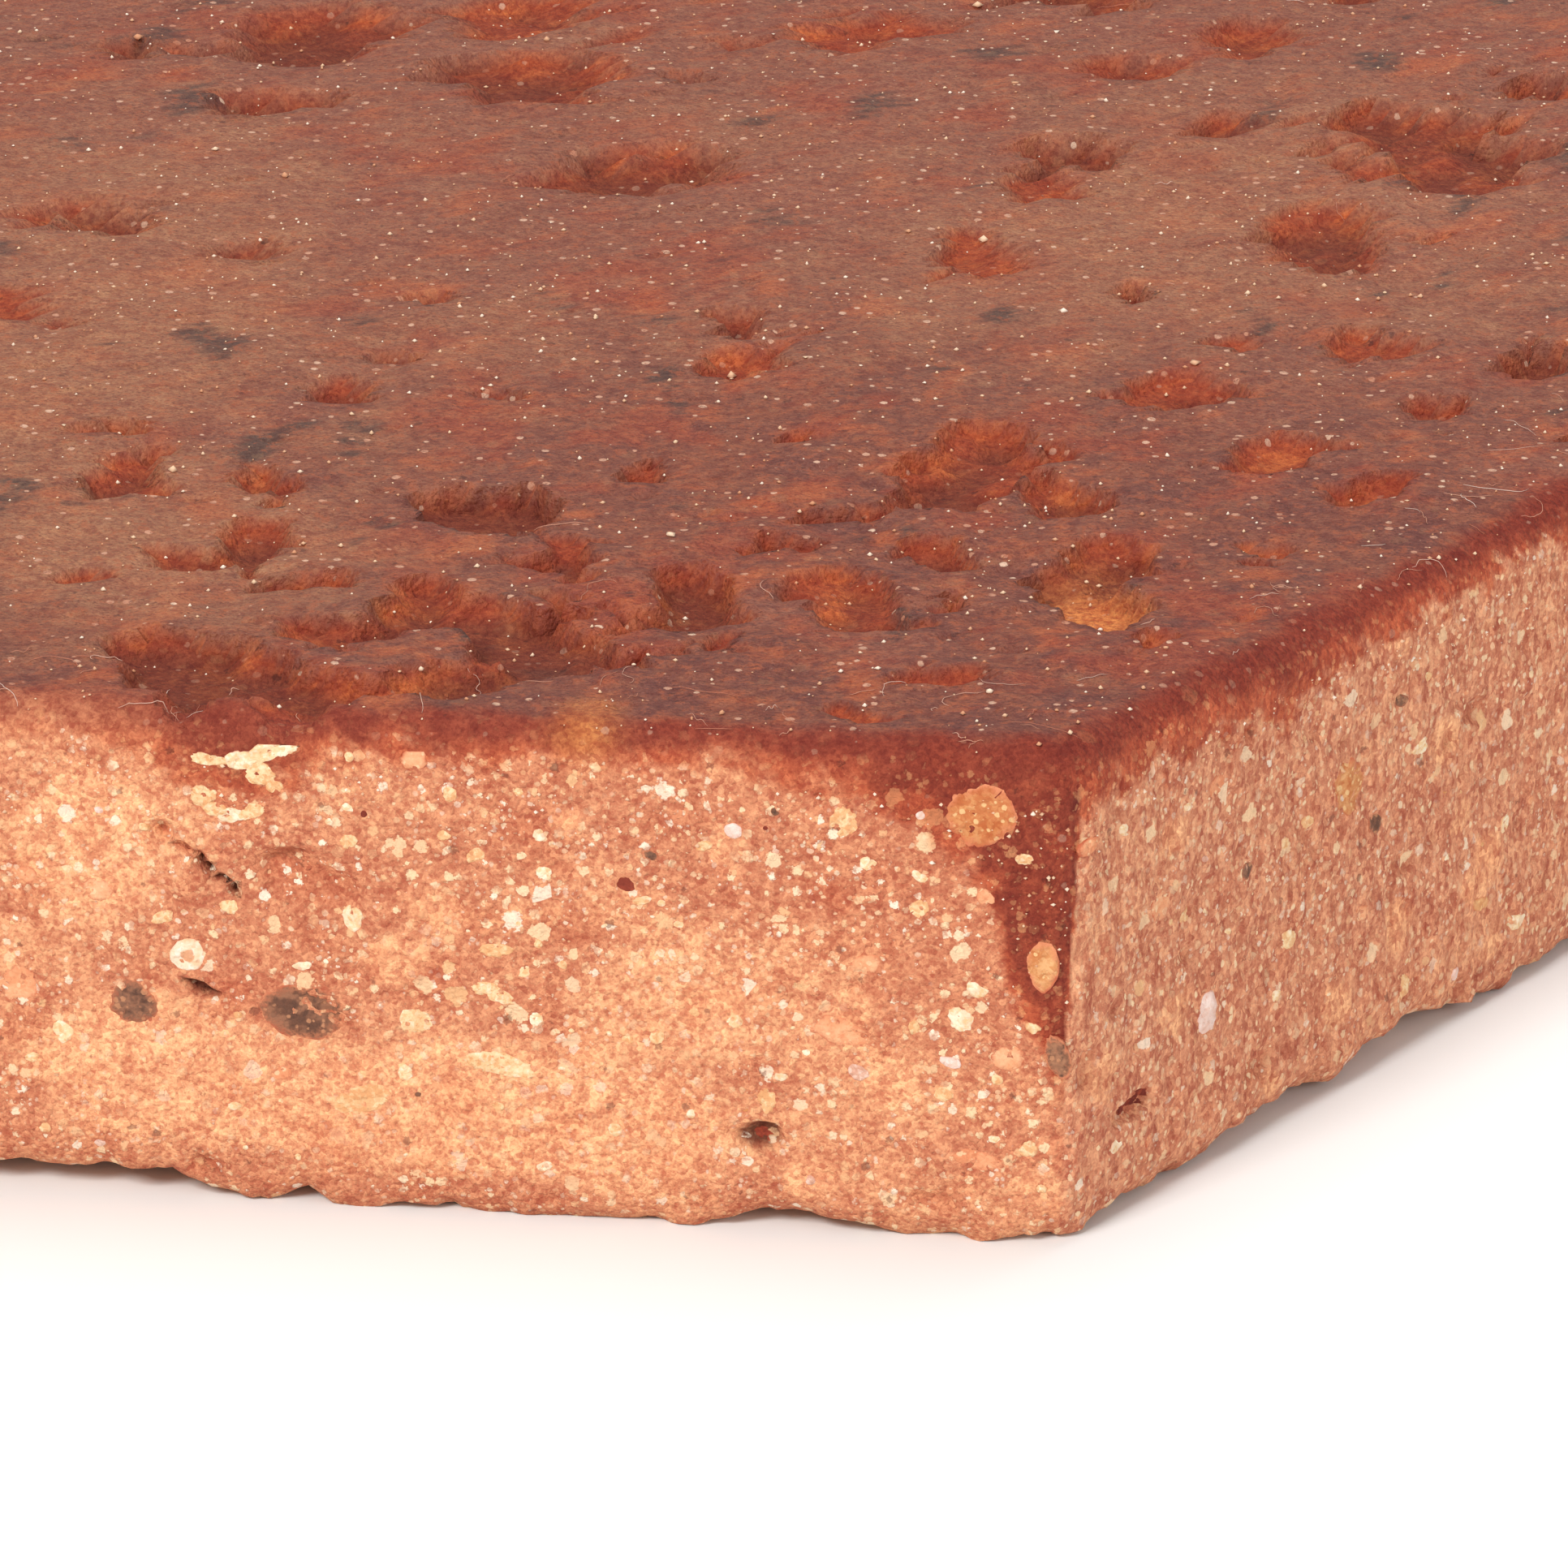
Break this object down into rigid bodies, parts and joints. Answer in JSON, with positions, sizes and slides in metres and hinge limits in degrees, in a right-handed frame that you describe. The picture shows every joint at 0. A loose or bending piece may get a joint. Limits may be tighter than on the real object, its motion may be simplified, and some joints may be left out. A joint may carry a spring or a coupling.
{
  "type": "hexagonal terracotta floor tile",
  "caption": "Handmade hexagonal fired-clay floor tile with a sealed, dented wear face, rounded arris and stony, speckled edge faces.",
  "frame": {"origin": "centre of the bed face, the face that lies in mortar", "axes": "+Z out of the wear face; two corners on +X and -X; two edge faces square to Y"},
  "size_m": [0.2302, 0.2, 0.02],
  "materials": {
    "clay_body": "dry matt fired clay with a gritty broken texture",
    "sealed_skin": "oil-sealed fired clay, low satin",
    "cream_grog": "matt crushed fired clay",
    "lime": "chalky matt",
    "quartz": "slightly glassy grain",
    "ironstone": "dull dark brown",
    "ochre_clay": "matt ochre clay",
    "peach_clay": "matt smooth pale clay",
    "red_grog": "matt crushed red brick"
  },
  "bodies": {
    "root": {"clay_body": "clay_body", "sealed_skin": "sealed_skin", "cream_grog_chips": "cream_grog", "lime_nodules": "lime", "quartz_pebbles": "quartz", "ironstone_nodules": "ironstone", "ochre_clay_pellets": "ochre_clay", "peach_clay_pellets": "peach_clay", "red_grog_chips": "red_grog"}
  },
  "joints": []
}
